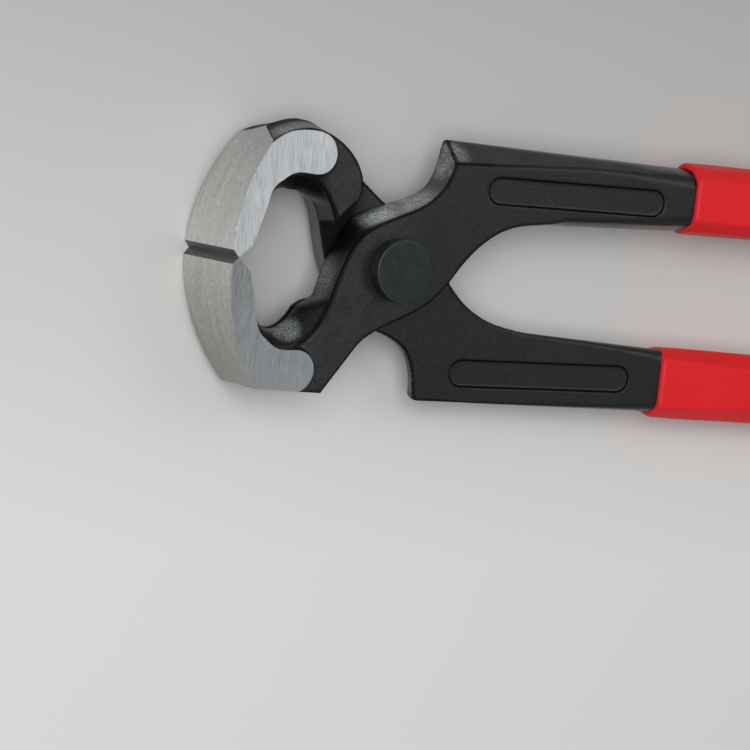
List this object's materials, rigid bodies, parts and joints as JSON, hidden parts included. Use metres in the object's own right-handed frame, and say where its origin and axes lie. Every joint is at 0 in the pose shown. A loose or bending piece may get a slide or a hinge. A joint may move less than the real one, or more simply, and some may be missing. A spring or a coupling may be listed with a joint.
{
  "type": "end cutting nippers",
  "caption": "Lap-jointed end cutting nippers with curved ground jaws meeting in a straight cutting edge, a flat-headed rivet, bevelled forged handles and dipped plastic grips.",
  "frame": {"origin": "on the rivet axis, in the plane of the lower rivet head on which the tool lies flat", "axes": "+Z along the rivet axis, up; -X towards the cutting edges, +X along the handles; +Y towards the handle of the front lever"},
  "size_m": [0.21, 0.0616, 0.025],
  "materials": {
    "forged_steel": "black oxide on a blasted forging, jaws ground bright",
    "rivet_steel": "black oxide on a turned face",
    "grip_plastic": "dipped, satin gloss"
  },
  "bodies": {
    "front": {"front_lever": "forged_steel", "rivet": "rivet_steel", "front_grip": "grip_plastic"},
    "rear": {"rear_lever": "forged_steel", "rear_grip": "grip_plastic"}
  },
  "joints": [
    {"name": "rivet_hinge", "type": "hinge", "parent": "front", "child": "rear", "pos_m": [0, 0, 0.0125], "axis": [0, 0, -1], "range_deg": [0, 52]}
  ]
}
